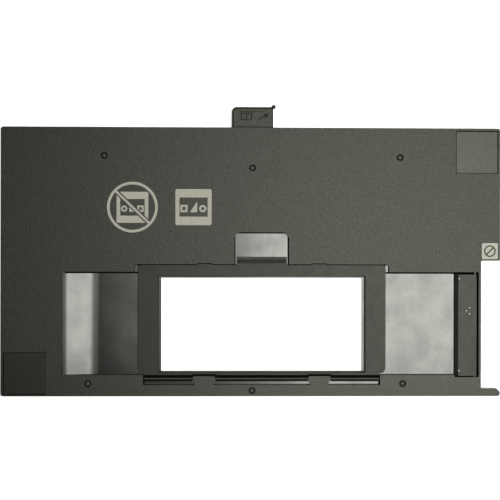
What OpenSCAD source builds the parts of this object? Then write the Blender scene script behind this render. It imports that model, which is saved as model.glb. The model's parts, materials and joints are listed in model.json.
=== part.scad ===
// Film holder for a flatbed scanner: a thin moulded plate that carries one strip
// of medium-format roll film flat over a window, under a hinged cover frame.
// Lengths are in millimetres. Modules draw in plate coordinates: X from the
// plate's left edge, Y from its front edge, Z from the table. place() moves the
// origin to the bottom centre of the whole holder.

/* [Plate] */
// Width of the plate, left edge to right edge
plate_w = 300; // [299:0.5:304]
// Depth of the plate, front edge to rear edge
plate_d = 161.3; // [158.1:0.4:165.7]
// Height of the plate's top face above the table
plate_top = 6; // [6:0.1:6.6]
// Thickness of the plate's skin
skin_t = 2; // [1.6:0.1:2.2]
// Thickness of the skirt along the plate's edges
skirt_t = 1.6; // [1.2:0.1:1.8]
// Thickness of the stiffening ribs under the plate
rib_t = 1.2; // [0.8:0.1:1.6]
// Radius of the plate's corners
corner_r = 1.6; // [0.8:0.2:2.4]

/* [Film channel] */
// Width of the channel, a little more than the film's 61.5 mm
channel_w = 61.8; // [61.6:0.1:62.1]
// Height of the film bed above the table
bed_z = 3; // [2.8:0.1:3]
// Length of the film window, along the film
window_w = 121; // [112:0.5:121.5]
// Width of the film window, across the film
window_h = 56.1; // [54:0.1:56.2]

/* [Cover frame] */
// Width of the cover frame
cover_w = 148.9; // [148.5:0.1:149.3]
// Width of the opening in the cover frame
cover_open_w = 123.6; // [122:0.2:125]
// Radius of the cover frame's front corners
cover_front_r = 3.6; // [2:0.2:4]
// Width of the finger lip on the cover frame
lip_w = 30; // [24:0.5:31]

/* [Hinges] */
// Radius of the cover's hinge barrels
barrel_r = 1.6; // [1.4:0.05:1.6]
// Radius of both hinge pins
pin_r = 0.6; // [0.5:0.05:0.7]
// Radial clearance of a pin that is held
held_gap = 0.02; // [0.01:0.01:0.04]
// Radial clearance of a pin that turns
running_gap = 0.05; // [0.03:0.01:0.08]
// Width of each knuckle on the plate
knuckle_w = 13; // [11.5:0.5:14]

/* [Feet and inserts] */
// Radius of a foot's pad
foot_r = 2.8; // [2:0.1:2.8]
// Radius of a foot's stem
stem_r = 1.28; // [1:0.02:1.4]
// Side of the square corner pads
pad_side = 25; // [24:0.2:25.2]
// Side of the square calibration label
label_side = 9.8; // [9:0.1:9.8]

/* [Hidden] */

eps = 0.01;
above = plate_top + 2;
below = -1;
round_steps = 6;
ramp_steps = 8;

// Levels above the table
skirt_z = 0.8;
boss_z = 1;
tray_z = 1.5;
trough_z = 1.9;
finger_z = 2.2;
guide_z = bed_z + 0.4;
shelf_z = 3.8;
skin_z = plate_top - skin_t;

// Channel: a ramp leads down to the bed, and the end clamp closes it
channel_y0 = 12.8;
channel_y1 = channel_y0 + channel_w;
ramp_x0 = 36;
ramp_x1 = 58.6;
ramp_crest = 4;
ramp_foot = 6;
groove_w = 0.85;
groove_d = 0.7;
tray_wall = 1.5;
tray_x0 = 38;

// Window and cover frame share one centre line
frame_x = 156.3;
window_x0 = frame_x - window_w / 2;
window_x1 = frame_x + window_w / 2;
window_y0 = 14.95;
window_y1 = window_y0 + window_h;
window_chamfer = 0.2;

cover_x0 = frame_x - cover_w / 2;
cover_x1 = frame_x + cover_w / 2;
cover_y0 = 13.6;
cover_y1 = 78.7;
cover_z = bed_z + 0.3;
cover_open_y0 = 14.8;
cover_open_y1 = 71.7;
cover_chamfer = 0.6;
cover_rear_r = 2;
rail_y0 = 12.75;
rail_z = 4;
rail_relief_y = 74.4;

pocket_x0 = 79.7;
pocket_x1 = 232.8;
pocket_y1 = 79.2;
pocket_r = 1.4;
stop_x = 34.5;
stop_w = 8.6;
stop_d = 0.6;

// Cover hinge
hinge_y = 10.4;
hinge_z = 4;
trough_x0 = 85.1;
trough_x1 = 227.6;
trough_y0 = 6.7;
trough_y1 = 12.35;
barrel_x0 = 85.5;
barrel_x1 = 227.2;
knuckle_x = 34.75;
knuckle_y1 = 12;
knuckle_root_y1 = 8.8;
knuckle_root_w = knuckle_w - 2;
notch_w = knuckle_w + 1.2;
notch_y1 = 13.3;
web_z0 = 3.6;
web_z1 = 4.8;

// Finger recess and lip
finger_x0 = 139.7;
finger_x1 = 172.5;
finger_y0 = 77.5;
finger_y1 = 98.4;
finger_r = 4;
finger_wall = 1.6;

// End clamp
clamp_recess_x0 = 272.5;
clamp_recess_x1 = 287.05;
clamp_recess_y0 = 11.4;
clamp_recess_y1 = 74.7;
clamp_x0 = 272.8;
clamp_y0 = 12.15;
clamp_y1 = 73.2;
clamp_axis_x = 285;
clamp_axis_z = 4.5;
clamp_r = 1.1;
clamp_slope = 2;
clamp_corner_r = 0.4;
clamp_pin_y0 = 10;
clamp_pin_y1 = 75.9;
dot_r = 0.55;
dot_h = 0.25;
dot_places = [[275.2, 15.35], [275.2, 70.8], [279.6, 51.4], [281.6, 49.5], [281.6, 53.25]];

// Calibration notch in the right edge, with a slim arm in front of it
notch_x0 = 288.5;
arm_d = 4.6;
notch_rear_y = 81.6;
arm_chamfer = 2;
notch_r = 0.8;

// Corner pads and label: lowest corner of each square recess
pad_recess = 25.6;
pad_recess_z = plate_top - 1;
pad_t = 0.95;
pad_rear_right = [plate_w - 26.9, plate_d - 27.1];
pad_front_left = [1.5, 0.9];
label_recess = 10.2;
label_recess_d = 0.2;
label_t = 0.16;
label_pos = [288.65, 82.3];

// Alignment tab on the rear edge
tab_x0 = 138;
tab_x1 = 162.9;
tab_l = 12.4;
tab_z0 = 3.4;
tab_z1 = 5.2;
tab_r = 3;
tab_rim_w = 1.2;
tab_rim_d = 0.4;
nub_r = 1.3;
nub_x = tab_x1 + 0.3;
nub_y = plate_d + tab_l + 0.15;
nub_z = tab_z0 + nub_r;
mark_d = 0.4;
mark_line = 0.6;

// Feet: centre of each
foot_places = [[61.6, 144.2], [150.5, 137.1], [239.3, 143.6],
    [52.1, 7.6], [150.4, 3.4], [241.1, 7.5]];
boss_r = 3;
sink_r = 2.1;
sink_d = 2.2;

// Stiffening ribs: places along X and along Y
rear_rib_x = [40, 80, 120, 180, 220, 260];
rear_rib_y = [104, 131];
side_rib_y = [34, 55];
front_rib_x = [44, 66, 255, 270];

overall_d = nub_y + nub_r;

plate_colour = [0.24, 0.24, 0.22];
cover_colour = [0.19, 0.19, 0.18];
clamp_colour = [0.30, 0.30, 0.28];
pad_colour = [0.16, 0.16, 0.15];
steel_colour = [0.30, 0.30, 0.31];
label_colour = [0.85, 0.85, 0.80];
foot_colour = [0.12, 0.12, 0.12];

// Points of an arc about [cx, cy], from angle a0 to angle a1
function arc(cx, cy, r, a0, a1) =
    [for (i = [0:round_steps]) let (a = a0 + (a1 - a0) * i / round_steps)
        [cx + r * cos(a), cy + r * sin(a)]];

// Rectangle with a radius at each corner: front left, front right, rear right, rear left
function rounded(x0, x1, y0, y1, r) = concat(
    arc(x0 + r[0], y0 + r[0], r[0], 180, 270),
    arc(x1 - r[1], y0 + r[1], r[1], 270, 360),
    arc(x1 - r[2], y1 - r[2], r[2], 0, 90),
    arc(x0 + r[3], y1 - r[3], r[3], 90, 180));

// Moves plate coordinates to the holder's own frame
module place() {
    translate([-plate_w / 2, -overall_d / 2, 0]) children();
}

module slab(x0, x1, y0, y1, z0, z1) {
    translate([x0, y0, z0]) cube([x1 - x0, y1 - y0, z1 - z0]);
}

// Outline given as points, raised from z0 to z1
module panel(points, z0, z1) {
    translate([0, 0, z0]) linear_extrude(z1 - z0) polygon(points);
}

// Section in Y and Z, drawn out along X
module along_x(x0, x1) {
    translate([x0, 0, 0]) rotate([90, 0, 90]) linear_extrude(x1 - x0) children();
}

// Section in X and Z, drawn out along Y
module along_y(y0, y1) {
    translate([0, y1, 0]) rotate([90, 0, 0]) linear_extrude(y1 - y0) children();
}

module cylinder_along_x(x0, x1, y, z, r) {
    translate([x0, y, z]) rotate([0, 90, 0]) cylinder(h = x1 - x0, r = r, $fn = 48);
}

module cylinder_along_y(y0, y1, x, z, r) {
    translate([x, y1, z]) rotate([90, 0, 0]) cylinder(h = y1 - y0, r = r, $fn = 48);
}

// Opening with upright walls, widened at 45 degrees over the last c below z1
module chamfered_opening(x0, x1, y0, y1, z1, c) {
    slab(x0, x1, y0, y1, below, above);
    intersection() {
        along_y(y0 - above, y1 + above)
            polygon([[x0, z1 - c], [x0 - c - 1, z1 + 1], [x1 + c + 1, z1 + 1], [x1, z1 - c]]);
        along_x(x0 - above, x1 + above)
            polygon([[y0, z1 - c], [y0 - c - 1, z1 + 1], [y1 + c + 1, z1 + 1], [y1, z1 - c]]);
    }
}

// ---- base plate ----

module plate_blank() {
    panel(concat(
        arc(corner_r, corner_r, corner_r, 180, 270),
        arc(plate_w - corner_r, corner_r, corner_r, 270, 360),
        [[plate_w, arm_d - arm_chamfer], [plate_w - arm_chamfer, arm_d]],
        arc(notch_x0 + notch_r, arm_d + notch_r, notch_r, 270, 180),
        arc(notch_x0 + notch_r, notch_rear_y - notch_r, notch_r, 180, 90),
        [[plate_w, notch_rear_y]],
        arc(plate_w - corner_r, plate_d - corner_r, corner_r, 0, 90),
        arc(corner_r, plate_d - corner_r, corner_r, 90, 180)),
        skirt_z, plate_top);
}

// Ribs, walls and bosses that stay under the skin
module underside_keep() {
    tray_y0 = channel_y0 - tray_wall;
    tray_y1 = channel_y1 + tray_wall;
    translate([tray_x0, tray_y0]) square([plate_w - tray_x0, tray_y1 - tray_y0]);
    translate([trough_x0 - tray_wall, trough_y0 - tray_wall])
        square([trough_x1 - trough_x0 + 2 * tray_wall, tray_y0]);
    translate([pocket_x0 - tray_wall, channel_y1])
        square([pocket_x1 - pocket_x0 + 2 * tray_wall, pocket_y1 - channel_y1 + tray_wall]);
    translate([finger_x0 - finger_wall, channel_y1])
        square([finger_x1 - finger_x0 + 2 * finger_wall, finger_y1 - channel_y1 + finger_wall]);
    for (x = rear_rib_x)
        translate([x, channel_y1]) square([rib_t, plate_d - channel_y1]);
    for (y = rear_rib_y)
        translate([0, y]) square([plate_w, rib_t]);
    for (y = side_rib_y)
        translate([0, y]) square([tray_x0 + 1, rib_t]);
    for (x = front_rib_x)
        translate([x, 0]) square([rib_t, tray_y0 + 1]);
    for (p = foot_places)
        translate(p) circle(r = boss_r, $fn = 48);
}

module underside_hollow() {
    translate([0, 0, below]) linear_extrude(skin_z - below) difference() {
        union() {
            translate([skirt_t, skirt_t])
                square([notch_x0 - 2 * skirt_t, plate_d - 2 * skirt_t]);
            translate([notch_x0 - 2 * skirt_t, notch_rear_y + skirt_t])
                square([plate_w - notch_x0 + skirt_t, plate_d - notch_rear_y - 2 * skirt_t]);
        }
        underside_keep();
    }
    // Under the film bed
    slab(tray_x0 + tray_wall, clamp_recess_x1 - tray_wall, channel_y0, channel_y1, below, tray_z);
    // Under the shelf behind the film bed, on both sides of the finger recess
    slab(pocket_x0, finger_x0 - finger_wall, channel_y1 + tray_wall, pocket_y1, below, finger_z);
    slab(finger_x1 + finger_wall, pocket_x1, channel_y1 + tray_wall, pocket_y1, below, finger_z);
}

// Height of the ramp: a rounded crest, a straight slope and a rounded foot
function ramp_z(x) =
    let (slope = (plate_top - bed_z) / (ramp_x1 - ramp_x0 - (ramp_crest + ramp_foot) / 2),
        up = x - ramp_x0, down = ramp_x1 - x)
    up < ramp_crest ? plate_top - slope * up * up / (2 * ramp_crest)
        : down < ramp_foot ? bed_z + slope * down * down / (2 * ramp_foot)
        : plate_top - slope * (up - ramp_crest / 2);

module film_channel() {
    crest = [for (i = [0:ramp_steps]) ramp_x0 + ramp_crest * i / ramp_steps];
    foot = [for (i = [0:ramp_steps]) ramp_x1 - ramp_foot * (1 - i / ramp_steps)];
    along_y(channel_y0, channel_y1) polygon(concat(
        [[ramp_x0, above]],
        [for (x = concat(crest, foot)) [x, ramp_z(x)]],
        [[clamp_recess_x0 + 1, bed_z], [clamp_recess_x0 + 1, above]]));
    // Relief groove at the foot of the rear guide wall, on both sides of the cover
    for (x = [[ramp_x1, pocket_x0], [pocket_x1, clamp_recess_x0 + 1]])
        along_x(x[0], x[1])
            polygon([[channel_y1 - groove_w, bed_z], [channel_y1, bed_z - groove_d],
                [channel_y1, bed_z + 1], [channel_y1 - groove_w, bed_z + 1]]);
    chamfered_opening(window_x0, window_x1, window_y0, window_y1, bed_z, window_chamfer);
}

module cover_pocket() {
    panel(rounded(pocket_x0, pocket_x1, window_y0, pocket_y1,
        [pocket_r, pocket_r, pocket_r, pocket_r]), shelf_z, above);
    for (side = [-1, 1])
        translate([frame_x + side * stop_x, 0, 0])
            slab(-stop_w / 2 - 0.3, stop_w / 2 + 0.3, pocket_y1 - 1, pocket_y1 + stop_d,
                shelf_z, above);
}

module hinge_trough() {
    slab(trough_x0, trough_x1, trough_y0, trough_y1, trough_z, above);
    slab(trough_x0, trough_x1, trough_y0, channel_y0 + eps, guide_z, above);
}

module finger_recess() {
    panel(rounded(finger_x0, finger_x1, finger_y0, finger_y1, [0.5, 0.5, finger_r, finger_r]),
        finger_z, above);
}

module clamp_recess() {
    slab(clamp_recess_x0, clamp_recess_x1, clamp_recess_y0, clamp_recess_y1, bed_z, above);
}

module insert_recesses() {
    for (p = [pad_rear_right, pad_front_left])
        translate([p[0], p[1], 0])
            slab(0, pad_recess, 0, pad_recess, pad_recess_z, above);
    translate([label_pos[0], label_pos[1], 0])
        panel(rounded(0, label_recess, 0, label_recess, [1.2, 1.2, 1.2, 1.2]),
            plate_top - label_recess_d, above);
}

module foot_holes() {
    for (p = foot_places)
        translate([p[0], p[1], 0]) {
            translate([0, 0, below])
                cylinder(h = above - below, r = stem_r + held_gap, $fn = 48);
            translate([0, 0, plate_top - sink_d])
                cylinder(h = above - plate_top + sink_d, r = sink_r, $fn = 48);
            translate([0, 0, below])
                cylinder(h = boss_z - below, r = boss_r, $fn = 48);
        }
}

module hinge_knuckles() {
    for (side = [-1, 1])
        along_x(frame_x + side * knuckle_x - knuckle_w / 2,
                frame_x + side * knuckle_x + knuckle_w / 2)
            polygon([[knuckle_root_y1, trough_z - 0.5], [trough_y1 + 0.2, trough_z - 0.5],
                [trough_y1 + 0.2, guide_z], [knuckle_y1, guide_z],
                [knuckle_y1, plate_top], [knuckle_root_y1, plate_top]]);
    for (side = [-1, 1])
        translate([frame_x + side * knuckle_x, 0, 0])
            slab(-knuckle_root_w / 2, knuckle_root_w / 2, trough_y0 - 0.5, knuckle_root_y1 + 0.5,
                trough_z - 0.5, plate_top);
}

module alignment_tab() {
    difference() {
        union() {
            panel(rounded(tab_x0, tab_x1, plate_d - skirt_t, plate_d + tab_l,
                [0.5, 0.5, 0.8, tab_r]), tab_z0, tab_z1 - tab_rim_d);
            panel(rounded(tab_x0 + tab_rim_w, tab_x1 - tab_rim_w / 2, plate_d - skirt_t,
                plate_d + tab_l - tab_rim_w, [0.5, 0.5, 0.5, tab_r - 1]), tab_z0, tab_z1);
            // Pointer: a ball on a short neck at the tab's corner
            translate([nub_x, nub_y, nub_z]) sphere(r = nub_r, $fn = 32);
            translate([tab_x1 - 1, plate_d + tab_l - 1, nub_z])
                rotate([0, 90, 45]) cylinder(h = 2, r = 0.6, $fn = 32);
        }
        tab_marks();
    }
}

// Sunk marks on the tab: a line along the plate, a film frame and an arrow
module tab_marks() {
    slab(tab_x0 - 1, tab_x1 + 1, plate_d, plate_d + mark_line, tab_z1 - 2 * mark_d, above);
    slab(tab_x0 + 4.5, tab_x1 - 5, plate_d + 9.6, plate_d + 9.6 + mark_line / 2,
        tab_z1 - mark_d, above);
    translate([143.4, plate_d + 4.4, tab_z1 - mark_d]) linear_extrude(1) {
        difference() {
            square([6.6, 4.6]);
            translate([mark_line, mark_line])
                square([6.6 - 2 * mark_line, 4.6 - 2 * mark_line]);
        }
        translate([3, 0]) square([mark_line, 4.6]);
    }
    translate([157, plate_d + 6.6, tab_z1 - mark_d]) rotate([0, 0, 28]) linear_extrude(1)
        polygon([[-3.6, -0.35], [0.8, -0.35], [0.8, -1.6], [3.6, 0], [0.8, 1.6], [0.8, 0.35],
            [-3.6, 0.35]]);
}

module base_plate() {
    color(plate_colour) place() difference() {
        union() {
            difference() {
                plate_blank();
                underside_hollow();
                film_channel();
                cover_pocket();
                hinge_trough();
                finger_recess();
                clamp_recess();
                insert_recesses();
                foot_holes();
            }
            hinge_knuckles();
            alignment_tab();
        }
        // The cover's rod goes in from the left edge, the clamp's pin from the front edge
        cylinder_along_x(-1, trough_x1 - 0.2, hinge_y, hinge_z, pin_r + running_gap);
        cylinder_along_y(-1, clamp_pin_y1 + 0.1, clamp_axis_x, clamp_axis_z, pin_r + held_gap);
    }
}

// ---- cover frame ----

module cover_body() {
    panel(rounded(cover_x0, cover_x1, cover_y0, cover_y1,
        [cover_front_r, cover_front_r, cover_rear_r, cover_rear_r]), cover_z, plate_top);
    slab(barrel_x0, barrel_x1, rail_y0, cover_open_y0 + 1, rail_z, plate_top);
    // Barrels and the web that joins them to the front rail
    cylinder_along_x(barrel_x0, barrel_x1, hinge_y, hinge_z, barrel_r);
    slab(barrel_x0, barrel_x1, hinge_y, cover_open_y0 - 0.5, web_z0, web_z1);
    // Stops on the rear rail
    for (side = [-1, 1])
        translate([frame_x + side * stop_x, 0, 0])
            slab(-stop_w / 2, stop_w / 2, cover_y1 - 1, cover_y1 + stop_d, rail_z + 0.2, plate_top);
}

module finger_lip() {
    along_x(frame_x - lip_w / 2, frame_x + lip_w / 2)
        polygon([[cover_y1 - 0.5, guide_z], [cover_y1 + 5, guide_z], [cover_y1 + 5, guide_z + 1],
            [cover_y1 + 2.3, guide_z + 1], [cover_y1, plate_top], [cover_y1 - 0.5, plate_top]]);
}

// Shallow pockets that lighten the cover's side legs from below
module leg_pockets() {
    leg_w = (cover_w - cover_open_w) / 2;
    pocket_l = 24;
    for (side = [-1, 1], y = [19, 46])
        translate([frame_x + side * (cover_w - leg_w) / 2, y, 0])
            slab(-leg_w / 2 + 1.6, leg_w / 2 - 2.2, 0, pocket_l, below, cover_z + 1);
}

module cover_frame() {
    color(cover_colour) place() difference() {
        union() {
            difference() {
                cover_body();
                slab(pocket_x0, pocket_x1, rail_relief_y, cover_y1 + 2, below, rail_z);
            }
            finger_lip();
        }
        chamfered_opening(frame_x - cover_open_w / 2, frame_x + cover_open_w / 2,
            cover_open_y0, cover_open_y1, plate_top, cover_chamfer);
        for (side = [-1, 1])
            translate([frame_x + side * knuckle_x, 0, 0])
                slab(-notch_w / 2, notch_w / 2, 0, notch_y1, below, above);
        leg_pockets();
        cylinder_along_x(barrel_x0 - 1, barrel_x1 + 1, hinge_y, hinge_z, pin_r + held_gap);
    }
}

module hinge_rod() {
    color(steel_colour) place()
        cylinder_along_x(barrel_x0 + 0.1, barrel_x1 - 0.1, hinge_y, hinge_z, pin_r);
}

// ---- end clamp ----

module end_clamp() {
    clamp_top = clamp_axis_z + clamp_r;
    clamp_bottom = clamp_axis_z - clamp_r;
    color(clamp_colour) place() {
        difference() {
            along_y(clamp_y0, clamp_y1) polygon(concat(
                [[clamp_x0, clamp_bottom], [clamp_x0, clamp_top - clamp_slope],
                    [clamp_x0 + clamp_slope, clamp_top]],
                arc(clamp_axis_x + clamp_r - clamp_corner_r, clamp_top - clamp_corner_r,
                    clamp_corner_r, 90, 0),
                arc(clamp_axis_x, clamp_axis_z, clamp_r, 0, -90)));
            cylinder_along_y(clamp_y0 - 1, clamp_y1 + 1, clamp_axis_x, clamp_axis_z,
                pin_r + running_gap);
        }
        // Raised dots: one near each end, and three that point along the film
        for (p = dot_places)
            translate([p[0], p[1], clamp_top + dot_h - dot_r]) sphere(r = dot_r, $fn = 24);
    }
}

module end_clamp_pin() {
    color(steel_colour) place()
        cylinder_along_y(clamp_pin_y0, clamp_pin_y1, clamp_axis_x, clamp_axis_z, pin_r);
}

// ---- inserts and feet ----

// Square pad in a corner recess: shift moves it towards the plate's middle
module corner_pad(p, shift) {
    gap = (pad_recess - pad_side) / 2;
    color(pad_colour) place()
        translate([p[0] + gap + shift, p[1] + gap + shift, 0])
            panel(rounded(0, pad_side, 0, pad_side, [0.6, 0.6, 0.6, 0.6]),
                pad_recess_z, pad_recess_z + pad_t);
}

module calibration_label() {
    gap = (label_recess - label_side) / 2;
    z0 = plate_top - label_recess_d;
    color(label_colour) place()
        translate([label_pos[0] + gap, label_pos[1] + gap, 0])
            panel(rounded(0, label_side, 0, label_side, [1, 1, 1, 1]), z0, z0 + label_t);
}

// Foot: a round pad under the plate on a stem that shows in the top face
module foot(index) {
    p = foot_places[index];
    color(foot_colour) place() translate([p[0], p[1], 0])
        rotate_extrude($fn = 48) polygon([[0, 0], [foot_r - 0.3, 0], [foot_r, 0.3],
            [foot_r, boss_z], [stem_r, boss_z], [stem_r, plate_top - 0.6],
            [stem_r - 0.3, plate_top - 0.3], [0, plate_top - 0.2]]);
}

base_plate();
cover_frame();
hinge_rod();
end_clamp();
end_clamp_pin();
corner_pad(pad_rear_right, -0.1);  // corner_pad_rear_right
corner_pad(pad_front_left, 0.1);  // corner_pad_front_left
calibration_label();
foot(0);  // foot_rear_left
foot(1);  // foot_rear_middle
foot(2);  // foot_rear_right
foot(3);  // foot_front_left
foot(4);  // foot_front_middle
foot(5);  // foot_front_right
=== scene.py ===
"""Looks of a film holder for a flatbed scanner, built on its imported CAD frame.

Lengths in the named values are in millimetres, measured like the CAD source does: along X from the plate's
left edge, along Y from its front edge and along Z from the table. at() turns them into metres in the frame.
"""
import json
import math

import bmesh
import bpy
from mathutils import Matrix, Vector


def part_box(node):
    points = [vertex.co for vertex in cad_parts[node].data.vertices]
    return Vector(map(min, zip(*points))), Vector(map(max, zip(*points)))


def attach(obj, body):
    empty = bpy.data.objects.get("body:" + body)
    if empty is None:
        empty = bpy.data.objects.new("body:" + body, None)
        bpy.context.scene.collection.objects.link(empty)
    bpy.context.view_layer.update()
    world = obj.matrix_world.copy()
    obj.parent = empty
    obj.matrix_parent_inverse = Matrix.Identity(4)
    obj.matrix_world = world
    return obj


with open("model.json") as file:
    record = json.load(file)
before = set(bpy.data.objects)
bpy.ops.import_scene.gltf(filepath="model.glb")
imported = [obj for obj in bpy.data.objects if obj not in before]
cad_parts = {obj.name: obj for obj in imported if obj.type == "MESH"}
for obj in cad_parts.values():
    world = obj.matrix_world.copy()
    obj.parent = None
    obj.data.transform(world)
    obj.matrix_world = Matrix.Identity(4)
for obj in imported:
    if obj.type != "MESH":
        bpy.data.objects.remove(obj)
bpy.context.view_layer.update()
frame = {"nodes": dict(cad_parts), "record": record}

MM = 0.001
plate_low, plate_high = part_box("base_plate")
PLATE_TOP = plate_high.z / MM


def at(x, y, z=0.0):
    """A place on the plate, in millimetres from its front left corner and the table, as frame metres."""
    return Vector((plate_low.x + x * MM, plate_low.y + y * MM, z * MM))


def span_of(node):
    """A CAD node's lowest and highest corners in plate millimetres."""
    return [(corner - at(0, 0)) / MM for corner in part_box(node)]


def grey(value, warmth=0.0):
    """Opaque grey, a little warmer or cooler."""
    return (value * (1 + warmth), value * (1 + 0.6 * warmth), value * (1 - warmth), 1.0)


# ---------------------------------------------------------------- node helpers

WARM_GLOSS = (1.0, 1.0, 0.93, 1.0)
NOISE_LOW, NOISE_HIGH = 0.3, 0.7


class Nodes:
    """Short calls for building one material's node tree."""

    def __init__(self, name):
        self.material = bpy.data.materials.new(name)
        self.material.use_nodes = True
        self.tree = self.material.node_tree
        self.shader = self.tree.nodes["Principled BSDF"]
        self.place = self.add("ShaderNodeTexCoord").outputs["Object"]

    def add(self, kind, **settings):
        node = self.tree.nodes.new(kind)
        for key, value in settings.items():
            setattr(node, key, value)
        return node

    def link(self, source, target):
        self.tree.links.new(source, target)

    def put(self, socket, value):
        """Sets a socket to a number or colour, or links it to another socket."""
        if isinstance(value, bpy.types.NodeSocket):
            self.link(value, socket)
        else:
            socket.default_value = value

    def math(self, operation, a, b=0.0):
        node = self.add("ShaderNodeMath", operation=operation)
        self.put(node.inputs[0], a)
        self.put(node.inputs[1], b)
        return node.outputs[0]

    def noise(self, size, detail=2.0, roughness=0.5, stretch=None):
        """Noise whose features are about size millimetres across."""
        place = self.place
        if stretch:
            mapping = self.add("ShaderNodeMapping")
            mapping.inputs["Scale"].default_value = stretch
            self.link(place, mapping.inputs["Vector"])
            place = mapping.outputs[0]
        node = self.add("ShaderNodeTexNoise")
        self.link(place, node.inputs["Vector"])
        node.inputs["Scale"].default_value = 1 / (size * MM)
        node.inputs["Detail"].default_value = detail
        node.inputs["Roughness"].default_value = roughness
        return node.outputs["Fac"]

    def span(self, value, from_low, from_high, to_low, to_high):
        """Maps one range of numbers onto another, and holds the ends."""
        node = self.add("ShaderNodeMapRange")
        self.put(node.inputs["Value"], value)
        for name, number in zip(("From Min", "From Max", "To Min", "To Max"),
                                (from_low, from_high, to_low, to_high)):
            self.put(node.inputs[name], number)
        return node.outputs[0]

    def spread(self, noise, low=0.0, high=1.0):
        """Spreads the part of its range that noise is mostly in over low to high."""
        return self.span(noise, NOISE_LOW, NOISE_HIGH, low, high)

    def mottle(self, size, dark, light):
        """Two colours in soft patches about size millimetres across."""
        return self.mix(self.spread(self.noise(size, 3.0, 0.6)), dark, light)

    def mix(self, fraction, a, b):
        """Mixes two colours, or two sockets that carry colours."""
        node = self.add("ShaderNodeMix", data_type="RGBA")
        self.put(node.inputs[0], fraction)
        self.put(node.inputs[6], a)
        self.put(node.inputs[7], b)
        return node.outputs[2]

    def blend(self, fraction, a, b):
        """Mixes two numbers."""
        node = self.add("ShaderNodeMix", data_type="FLOAT")
        self.put(node.inputs[0], fraction)
        self.put(node.inputs[2], a)
        self.put(node.inputs[3], b)
        return node.outputs[0]

    def bump(self, height, depth, strength=1.0, under=None):
        """Bump of a height between 0 and 1, depth millimetres deep."""
        node = self.add("ShaderNodeBump")
        node.inputs["Distance"].default_value = depth * MM
        self.put(node.inputs["Strength"], strength)
        self.put(node.inputs["Height"], height)
        if under is not None:
            self.link(under, node.inputs["Normal"])
        return node.outputs["Normal"]

    def split(self, vector):
        node = self.add("ShaderNodeSeparateXYZ")
        self.link(vector, node.inputs[0])
        return node.outputs

    def any_of(self, masks):
        total = masks[0]
        for mask in masks[1:]:
            total = self.math("MAXIMUM", total, mask)
        return total

    def between(self, value, low, high, edge):
        """1 between low and high, falling to 0 over edge on the inside; lengths in metres."""
        up = self.span(value, low, low + edge, 0.0, 1.0)
        return self.math("MULTIPLY", up, self.span(value, high - edge, high, 1.0, 0.0))

    def facing_up(self):
        """1 where the true surface faces upwards."""
        normal = self.add("ShaderNodeNewGeometry").outputs["True Normal"]
        return self.math("GREATER_THAN", self.split(normal)[2], 0.5)

    def block(self, x0, x1, y0, y1, z1, edge=0.15):
        """1 inside a rectangle of the plate and below z1, all in plate millimetres."""
        x, y, z = self.split(self.place)
        low, high = at(x0, y0), at(x1, y1)
        inside = self.math("MULTIPLY", self.between(x, low.x, high.x, edge * MM),
                           self.between(y, low.y, high.y, edge * MM))
        return self.math("MULTIPLY", inside, self.math("LESS_THAN", z, z1 * MM))

    def surface(self, colour, roughness, normal, metallic=0.0, gloss=None):
        """Fills in the shader. gloss is a black plastic's specular level, and its shine is a little warm."""
        self.put(self.shader.inputs["Base Color"], colour)
        self.put(self.shader.inputs["Roughness"], roughness)
        self.put(self.shader.inputs["Normal"], normal)
        self.put(self.shader.inputs["Metallic"], metallic)
        if gloss is not None:
            self.shader.inputs["Specular IOR Level"].default_value = gloss
            self.shader.inputs["Specular Tint"].default_value = WARM_GLOSS
        return self.material


# ---------------------------------------------------------------- materials

# Radius that each node's edges are rounded to
EDGE_ROUND = {"base_plate": 0.2, "cover_frame": 0.35, "end_clamp": 0.2, "corner_pad_rear_right": 0.2,
              "corner_pad_front_left": 0.2, "calibration_label": 0.03}

# A polished patch is metallic with a dark base colour, which is then its shine seen from above. A shaded
# patch is painted shade: a near-black metallic colour with high roughness that darkens narrow gaps and sinks
PLATE_DARK, PLATE_LIGHT = grey(0.0045, 0.10), grey(0.0090, 0.10)
POLISHED_DIM, POLISHED_BRIGHT = grey(0.036), grey(0.046)
# Colour and roughness of the painted shade in the plate's narrow gaps and sinks
PAINTED_SHADE = grey(0.007, 0.15)
PAINTED_SHADE_ROUGHNESS = 0.9

# Polished patches of the plate: X from, X to, Y from, Y to and the height that they stay under
SHELF_X = 81.8, 230.8
POLISHED_PATCHES = (
    (36.0, 272.45, 12.95, 73.7, PLATE_TOP - 0.004),
    (85.9, 227.0, 6.8, 9.6, 2.3),
    (79.9, SHELF_X[0], 74.5, 78.7, 3.9),
    (SHELF_X[1], 232.5, 74.5, 78.7, 3.9),
    (140.3, 171.9, 78.9, 97.8, 2.5),
)

# Unpolished faces of the plate that lie deeper than this below its top, or below the tab's top, get painted
# shade
PAINTED_SHADE_DEPTH = 0.1
TAB_Y, TAB_TOP = 161.4, 5.2
# How much of that painted shade the tab and the shallow sinks round the feet's tips take
SHALLOW_SHADE = 0.45
SINK_MARGIN = 0.8

# Roughness of the grain and of the polish, and what is taken off it on the plate's front strip
GRAIN_ROUGHNESS = 0.37, 0.47
POLISH_ROUGHNESS = 0.18, 0.14
FRONT_STRIP_Y = 12.0
FRONT_SMOOTHER = 0.09
# Part of its range that the polish's wear is mostly in
WEAR_LOW, WEAR_HIGH = 0.36, 0.64


def foot_sinks():
    """Squares round the feet's tips, where the plate is sunk a little, in the form of POLISHED_PATCHES."""
    for node in sorted(frame["nodes"]):
        if node.startswith("foot_"):
            low, high = span_of(node)
            yield (low.x - SINK_MARGIN, high.x + SINK_MARGIN, low.y - SINK_MARGIN, high.y + SINK_MARGIN,
                   PLATE_TOP)


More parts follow.
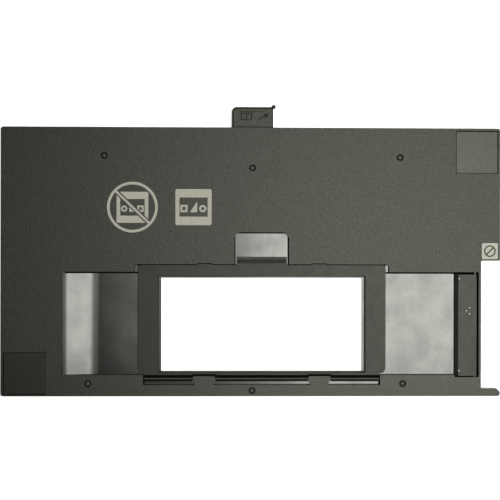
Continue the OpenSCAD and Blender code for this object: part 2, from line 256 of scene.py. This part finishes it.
def plate_plastic():
    """Grained black moulding, polished where the film lies, with painted shade in its narrow gaps and sinks.
    """
    n = Nodes("plate_plastic")
    up = n.facing_up()
    polished = n.math("MULTIPLY", n.any_of([n.block(*patch) for patch in POLISHED_PATCHES]), up)

    y, z = n.split(n.place)[1:]
    on_tab = n.math("GREATER_THAN", y, at(0, TAB_Y).y)
    face = n.blend(on_tab, (PLATE_TOP - PAINTED_SHADE_DEPTH) * MM, (TAB_TOP - PAINTED_SHADE_DEPTH) * MM)
    shallow = n.any_of([on_tab] + [n.block(*sink) for sink in foot_sinks()])
    # sunk marks the faces that get painted shade, with less of it on the tab and round the feet's tips
    sunk = n.math("MULTIPLY", n.math("LESS_THAN", z, face), up)
    sunk = n.math("MULTIPLY", sunk, n.blend(shallow, 1.0, SHALLOW_SHADE))

    wear = n.math("ADD", n.math("MULTIPLY", n.noise(5.0, 2.0, 0.5, stretch=(1.0, 0.15, 1.0)), 0.2),
                  n.math("MULTIPLY", n.noise(14.0, 4.0, 0.6), 0.8))
    wear = n.span(wear, WEAR_LOW, WEAR_HIGH, 0.0, 1.0)
    grained = n.mottle(1.2, PLATE_DARK, PLATE_LIGHT)
    # Painted shade in the gaps and sinks, except where they are polished
    shade = n.math("MULTIPLY", sunk, n.math("SUBTRACT", 1.0, polished))
    colour = n.mix(polished, n.mix(shade, grained, PAINTED_SHADE), n.mix(wear, POLISHED_DIM, POLISHED_BRIGHT))

    front = n.span(y, at(0, FRONT_STRIP_Y).y, at(0, FRONT_STRIP_Y + 1).y, FRONT_SMOOTHER, 0.0)
    grain_roughness = n.math("SUBTRACT", n.spread(n.noise(0.9, 3.0, 0.7), *GRAIN_ROUGHNESS), front)
    grain_roughness = n.blend(sunk, grain_roughness, PAINTED_SHADE_ROUGHNESS)
    roughness = n.blend(polished, grain_roughness, n.blend(wear, *POLISH_ROUGHNESS))

    grain = n.bump(n.noise(0.8, 3.0, 0.7), 0.16, n.math("SUBTRACT", 1.0, polished))
    ripple = n.bump(n.noise(11.0, 2.0), 0.02, n.math("MULTIPLY", polished, 0.5), grain)
    return n.surface(colour, roughness, ripple, n.math("MAXIMUM", polished, sunk), gloss=0.325)


# The cover gets painted shade round its hinge: in front of this line and below the height where its face
# begins
COVER_HINGE_Y = 13.2
COVER_HINGE_Z = 5.4, 5.5


def cover_plastic():
    """Satin plastic, with painted shade round the hinge below the cover's face and on the rounded left edge.
    """
    n = Nodes("cover_plastic")
    x, y, z = n.split(n.place)
    hinge = n.math("MULTIPLY", n.span(z, COVER_HINGE_Z[0] * MM, COVER_HINGE_Z[1] * MM, 1.0, 0.0),
                   n.math("LESS_THAN", y, at(0, COVER_HINGE_Y).y))
    left = span_of("cover_frame")[0].x + EDGE_ROUND["cover_frame"]
    # Painted shade round the hinge and on the rounded left edge
    hinge_and_edge_shade = n.math("MAXIMUM", n.math("MULTIPLY", hinge, n.facing_up()),
                  n.math("LESS_THAN", x, at(left, 0).x))
    colour = n.mix(hinge_and_edge_shade, n.mottle(1.3, grey(0.003, 0.1), grey(0.007, 0.1)), PAINTED_SHADE)
    roughness = n.blend(hinge_and_edge_shade, n.spread(n.noise(7.0, 4.0, 0.7), 0.41, 0.48), PAINTED_SHADE_ROUGHNESS)
    return n.surface(colour, roughness, n.bump(n.noise(0.45, 2.0, 0.6), 0.05), hinge_and_edge_shade, gloss=0.265)


# Heights where the clamp's raised dots begin, whose tops get a painted highlight
CLAMP_DOTS_Z = 5.68, 5.72


def clamp_plastic():
    """Satin plastic whose raised dots are painted pale, a painted highlight on their polished tops."""
    n = Nodes("clamp_plastic")
    z = n.split(n.place)[2]
    dots = n.span(z, CLAMP_DOTS_Z[0] * MM, CLAMP_DOTS_Z[1] * MM, 0.0, 1.0)
    # The pale colour on the dot tops is a painted highlight
    colour = n.mix(dots, n.mottle(1.3, grey(0.005, 0.1), grey(0.010, 0.1)), grey(0.55, 0.02))
    roughness = n.blend(dots, n.spread(n.noise(6.0, 4.0, 0.7), 0.43, 0.51), 0.25)
    grain = n.bump(n.noise(0.28, 2.0, 0.6), 0.03, n.math("SUBTRACT", 1.0, dots))
    return n.surface(colour, roughness, grain, gloss=0.31)


def satin_plastic(name, dark, light, rough_low, rough_high, grain_size, grain_depth, gloss):
    """Evenly grained black plastic or rubber."""
    n = Nodes(name)
    roughness = n.spread(n.noise(2.0, 3.0), rough_low, rough_high)
    grain = n.bump(n.noise(grain_size, 2.0, 0.6), grain_depth)
    return n.surface(n.mottle(1.3, dark, light), roughness, grain, gloss=gloss)


def drawn_steel():
    """Darkened steel wire with fine marks round it from drawing."""
    n = Nodes("drawn_steel")
    streaks = n.noise(0.25, 3.0, 0.6, stretch=(0.05, 1.0, 1.0))
    colour = n.mix(n.spread(streaks), grey(0.07), grey(0.12))
    return n.surface(colour, n.spread(streaks, 0.4, 0.55), n.bump(streaks, 0.01), metallic=1.0)


def label_film():
    """Off-white label with a faint unevenness."""
    n = Nodes("label_film")
    colour = n.mix(n.spread(n.noise(1.8, 3.0)), (0.27, 0.27, 0.235, 1.0), (0.32, 0.32, 0.275, 1.0))
    return n.surface(colour, 0.55, n.bump(n.noise(0.4), 0.01))


def printed_ink(name, thin, full):
    """Screen-printed ink that the plate's grain shows through."""
    n = Nodes(name)
    cover = n.span(n.noise(0.45, 3.0, 0.65), 0.35, 0.65, 0.0, 1.0)
    return n.surface(n.mix(cover, thin, full), n.blend(cover, 0.7, 0.6),
                     n.bump(n.noise(0.35, 2.0, 0.6), 0.03))


MATERIALS = {
    "plate_plastic": plate_plastic(),
    "cover_plastic": cover_plastic(),
    "clamp_plastic": clamp_plastic(),
    "pad_plastic": satin_plastic("pad_plastic", grey(0.004, 0.1), grey(0.008, 0.1), 0.34, 0.39,
                                 grain_size=0.28, grain_depth=0.03, gloss=0.29),
    "pin_steel": drawn_steel(),
    "foot_rubber": satin_plastic("foot_rubber", grey(0.010), grey(0.018), 0.5, 0.6,
                                 grain_size=0.2, grain_depth=0.02, gloss=0.5),
    "label_white": label_film(),
}
PALE_INK = printed_ink("pale_ink", (0.23, 0.225, 0.19, 1.0), (0.33, 0.32, 0.285, 1.0))
LABEL_INK = printed_ink("label_ink", (0.035, 0.035, 0.022, 1.0), (0.015, 0.015, 0.01, 1.0))


# ---------------------------------------------------------------- CAD nodes

SHARP = math.radians(30)
BEVEL_SHARP = math.radians(35)
FLAT = math.radians(0.3)
WELD = 0.002


def soften(obj, radius):
    """Rounds a CAD node's edges a little with modifiers that leave its own mesh alone."""
    weld = obj.modifiers.new("weld", "WELD")
    weld.merge_threshold = WELD * MM
    flat = obj.modifiers.new("merge_flat_faces", "DECIMATE")
    flat.decimate_type = "DISSOLVE"
    flat.angle_limit = FLAT
    bevel = obj.modifiers.new("round_edges", "BEVEL")
    bevel.width = radius * MM
    bevel.segments = 2
    bevel.limit_method = "ANGLE"
    bevel.angle_limit = BEVEL_SHARP
    bevel.use_clamp_overlap = True
    level = obj.modifiers.new("level_flat_faces", "WEIGHTED_NORMAL")
    level.weight = 100
    level.keep_sharp = True


def dress_cad_nodes():
    slots = {row["node"]: row["material_slot"] for row in frame["record"]["subparts"]}
    for name, obj in frame["nodes"].items():
        obj.data.materials.clear()
        obj.data.materials.append(MATERIALS[slots[name]])
        obj.data.shade_smooth()
        obj.data.set_sharp_from_angle(angle=SHARP)
        if name in EDGE_ROUND:
            soften(obj, EDGE_ROUND[name])


# ---------------------------------------------------------------- printed marks

INK_T = 0.02


def arc(x, y, radius, start, end, steps):
    """Points along an arc about (x, y), from start to end in degrees, both included."""
    turns = [math.radians(start + (end - start) * i / steps) for i in range(steps + 1)]
    return [(x + radius * math.cos(turn), y + radius * math.sin(turn)) for turn in turns]


def circle(x, y, radius, steps=72):
    return arc(x, y, radius, 0, 360, steps)[:-1]


def segment(x, y, radius, angle, offset):
    """The part of a circle that lies further than offset from its centre, towards angle in degrees."""
    half = math.degrees(math.acos(offset / radius))
    return arc(x, y, radius, angle - half, angle + half, 36)


def rectangle(x0, x1, y0, y1, radius=0.0):
    """Outline of a rectangle, with rounded corners if a radius is given."""
    if not radius:
        return [(x0, y0), (x1, y0), (x1, y1), (x0, y1)]
    points = []
    for x, y, start in ((x0 + radius, y0 + radius, 180), (x1 - radius, y0 + radius, 270),
                        (x1 - radius, y1 - radius, 0), (x0 + radius, y1 - radius, 90)):
        points += arc(x, y, radius, start, start + 90, 4)
    return points


def square(x, y, half):
    return rectangle(x - half, x + half, y - half, y + half)


def cut_band(mesh, x, y, angle, half_width):
    """Cuts a straight band through (x, y) out of a flat shape, square to angle, and closes the cut sides."""
    joined = bmesh.new()
    for turn in (0, 180):
        side = Vector((math.cos(math.radians(angle + turn)), math.sin(math.radians(angle + turn)), 0))
        half = bmesh.new()
        half.from_mesh(mesh)
        bmesh.ops.remove_doubles(half, verts=half.verts, dist=0.001 * MM)
        bmesh.ops.bisect_plane(half, geom=half.verts[:] + half.edges[:] + half.faces[:],
                               plane_co=at(x, y) + side * half_width * MM, plane_no=side, clear_inner=True)
        bmesh.ops.edgeloop_fill(half, edges=[edge for edge in half.edges if edge.is_boundary])
        kept = bpy.data.meshes.new("half")
        half.to_mesh(kept)
        half.free()
        joined.from_mesh(kept)
        bpy.data.meshes.remove(kept)
    bmesh.ops.recalc_face_normals(joined, faces=joined.faces)
    joined.to_mesh(mesh)
    joined.free()


def ink_piece(name, outlines, z, material, holes=(), band=None):
    """A printed shape, INK_T thick and centred on height z: closed outlines and holes on the plate."""
    curve = bpy.data.curves.new(name, "CURVE")
    curve.dimensions = "2D"
    curve.fill_mode = "BOTH"
    curve.extrude = INK_T / 2 * MM
    for points in list(outlines) + list(holes):
        spline = curve.splines.new("POLY")
        spline.points.add(len(points) - 1)
        for point, (x, y) in zip(spline.points, points):
            place = at(x, y)
            point.co = (place.x, place.y, 0.0, 1.0)
        spline.use_cyclic_u = True
    shape = bpy.data.objects.new(name + "_curve", curve)
    bpy.context.scene.collection.objects.link(shape)
    bpy.context.view_layer.update()
    mesh = bpy.data.meshes.new_from_object(shape.evaluated_get(bpy.context.evaluated_depsgraph_get()))
    bpy.data.objects.remove(shape)
    if band:
        cut_band(mesh, *band)
    mesh.transform(Matrix.Translation((0, 0, z * MM)))
    piece = bpy.data.objects.new(name, mesh)
    bpy.context.scene.collection.objects.link(piece)
    mesh.materials.clear()
    mesh.materials.append(material)
    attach(piece, "base")


def barred_ring(name, x, y, outer, inner, bar_angle, bar_half, z, material):
    """A ring with a bar across it."""
    holes = [segment(x, y, inner, bar_angle + turn, bar_half) for turn in (90, -90)]
    ink_piece(name, [circle(x, y, outer)], z, material, holes)


# Where the three shapes stand, as shares of the window's width
PICTURE_SHARES = 0.16, 0.5, 0.83


def film_picture(name, window, mirrored, band=None):
    """Three plain shapes in a row inside window, which show which way round the film lies."""
    x0, x1, y0, y1 = window
    spots = [x0 + (x1 - x0) * share for share in PICTURE_SHARES]
    ring_x, flag_x, square_x = reversed(spots) if mirrored else spots
    r = (y1 - y0) * 0.19
    lean = -r if mirrored else r
    middle = y0 + (y1 - y0) * 0.42
    flag = [(flag_x - lean, middle - r), (flag_x + lean, middle - r), (flag_x - lean, middle + 1.9 * r)]
    ink_piece(name, [circle(ring_x, middle, r, 32), flag, square(square_x, middle, r)], PLATE_TOP, PALE_INK,
              [circle(ring_x, middle, r * 0.45, 24), square(square_x, middle, r * 0.45)], band)


# Ring of the crossed-out pictogram, its bar, and the dark gap along the bar in the film frame
RING_X, RING_Y = 78.6, 113.3
RING_OUTER, RING_INNER = 15.2, 13.6
BAR_ANGLE, BAR_HALF = -43.7, 0.65
BAR_GAP = 0.75

# Film frames: X from, X to, Y from, Y to of the outline and of the dark window in it, and the corner radius
WRONG_FRAME, WRONG_WINDOW, WRONG_CORNER = (69.1, 88.1, 103.9, 122.5), (71.3, 85.9, 108.2, 118.2), 0.9
RIGHT_FRAME, RIGHT_WINDOW, RIGHT_CORNER = (104.3, 126.0, 102.6, 124.2), (106.7, 123.6, 107.7, 119.2), 1.1

LABEL_OUTER, LABEL_INNER = 3.55, 2.7
LABEL_BAR_ANGLE, LABEL_BAR_HALF = 45, 0.45


def printed_marks():
    """Two pale pictograms on how the film lies, and the mark on the calibration label."""
    gap = (RING_X, RING_Y, BAR_ANGLE + 90, BAR_HALF + BAR_GAP)
    barred_ring("print_ring", RING_X, RING_Y, RING_OUTER, RING_INNER, BAR_ANGLE, BAR_HALF,
                PLATE_TOP, PALE_INK)
    ink_piece("print_wrong_way", [rectangle(*WRONG_FRAME, WRONG_CORNER)], PLATE_TOP, PALE_INK,
              [rectangle(*WRONG_WINDOW)], gap)
    film_picture("print_wrong_picture", WRONG_WINDOW, False, gap)
    ink_piece("print_right_way", [rectangle(*RIGHT_FRAME, RIGHT_CORNER)], PLATE_TOP, PALE_INK,
              [rectangle(*RIGHT_WINDOW)])
    film_picture("print_right_picture", RIGHT_WINDOW, True)

    low, high = span_of("calibration_label")
    middle = (low + high) / 2
    barred_ring("label_mark", middle.x, middle.y, LABEL_OUTER, LABEL_INNER, LABEL_BAR_ANGLE, LABEL_BAR_HALF,
                high.z, LABEL_INK)


# ---------------------------------------------------------------- studio

CAMERA_H = 0.75
CAMERA_TILT = math.radians(1.4)
CAMERA_ROLL = math.radians(0.123)
VIEW_X, VIEW_Y = 149.06, 87.77
VIEW_W = 300.06


def camera():
    """Looks straight down, a touch from the left."""
    data = bpy.data.cameras.new("camera")
    cam = bpy.data.objects.new("camera", data)
    bpy.context.scene.collection.objects.link(cam)
    bpy.context.scene.camera = cam
    data.sensor_width = 36
    data.lens = data.sensor_width * CAMERA_H / (VIEW_W * MM)
    cam.rotation_euler = (0, -CAMERA_TILT, CAMERA_ROLL)
    back = cam.rotation_euler.to_matrix() @ Vector((0, 0, 1))
    cam.location = at(VIEW_X, VIEW_Y, PLATE_TOP) + back * CAMERA_H
    data.clip_start, data.clip_end = 0.05, 20


# Level lit panels above the object: X from, X to, Y from, Y to and radiance
LIGHT_Z = 800
LIGHT_COLOUR = (1.0, 1.0, 0.92)
PANELS = {
    "softbox": (166, 600, -60, 330, 11.8),
    "softbox_edge": (146, 166, -60, 330, 4.5),
    "softbox_front": (215, 620, -100, -60, 11.6),
    "softbox_corner": (320, 760, -230, -105, 5.0),
    "fill_panel": (-6, 146, -60, 330, 2.6),
    "fill_front": (80, 215, -105, -60, 0.7),
}


def panel_light(name, x0, x1, y0, y1, radiance):
    """A level panel that is as bright all over as radiance says."""
    data = bpy.data.lights.new(name, "AREA")
    data.shape = "RECTANGLE"
    data.size, data.size_y = (x1 - x0) * MM, (y1 - y0) * MM
    data.energy = radiance * math.pi * data.size * data.size_y
    data.color = LIGHT_COLOUR
    light = bpy.data.objects.new(name, data)
    light.location = at((x0 + x1) / 2, (y0 + y1) / 2, LIGHT_Z)
    bpy.context.scene.collection.objects.link(light)


FLOOR_HALF = 2.0


def floor_paper():
    """White paper that the light from below keeps free of deep shadow."""
    n = Nodes("floor_paper")
    tone = n.mix(n.noise(40.0), grey(0.86), grey(0.88))
    n.put(n.shader.inputs["Base Color"], tone)
    n.shader.inputs["Roughness"].default_value = 0.9
    n.put(n.shader.inputs["Emission Color"], tone)
    n.shader.inputs["Emission Strength"].default_value = 0.6
    return n.material


def floor():
    half = FLOOR_HALF
    mesh = bpy.data.meshes.new("floor")
    mesh.from_pydata([(-half, -half, 0), (half, -half, 0), (half, half, 0), (-half, half, 0)], [],
                     [(0, 1, 2, 3)])
    mesh.materials.append(floor_paper())
    sheet = bpy.data.objects.new("floor", mesh)
    bpy.context.scene.collection.objects.link(sheet)


# The sky's strength falls from the first to the second between these heights of a unit direction
SKY_COLOUR = (1.0, 1.0, 0.97, 1.0)
SKY_HEIGHTS = 0.4, 0.8
SKY_STRENGTHS = 0.7, 0.05


def sky():
    """Dim overhead and brighter towards the horizon, as in a room with pale walls."""
    world = bpy.data.worlds.new("world")
    world.use_nodes = True
    nodes, links = world.node_tree.nodes, world.node_tree.links
    direction = nodes.new("ShaderNodeTexCoord").outputs["Generated"]
    parts = nodes.new("ShaderNodeSeparateXYZ")
    fade = nodes.new("ShaderNodeMapRange")
    for name, number in zip(("From Min", "From Max", "To Min", "To Max"), SKY_HEIGHTS + SKY_STRENGTHS):
        fade.inputs[name].default_value = number
    background = nodes["Background"]
    background.inputs["Color"].default_value = SKY_COLOUR
    links.new(direction, parts.inputs[0])
    links.new(parts.outputs["Z"], fade.inputs["Value"])
    links.new(fade.outputs[0], background.inputs["Strength"])
    return world


def studio():
    bpy.context.scene.world = sky()
    bpy.context.scene.view_settings.view_transform = "Standard"
    for name, panel in PANELS.items():
        panel_light(name, *panel)
    floor()


dress_cad_nodes()
printed_marks()
camera()
studio()
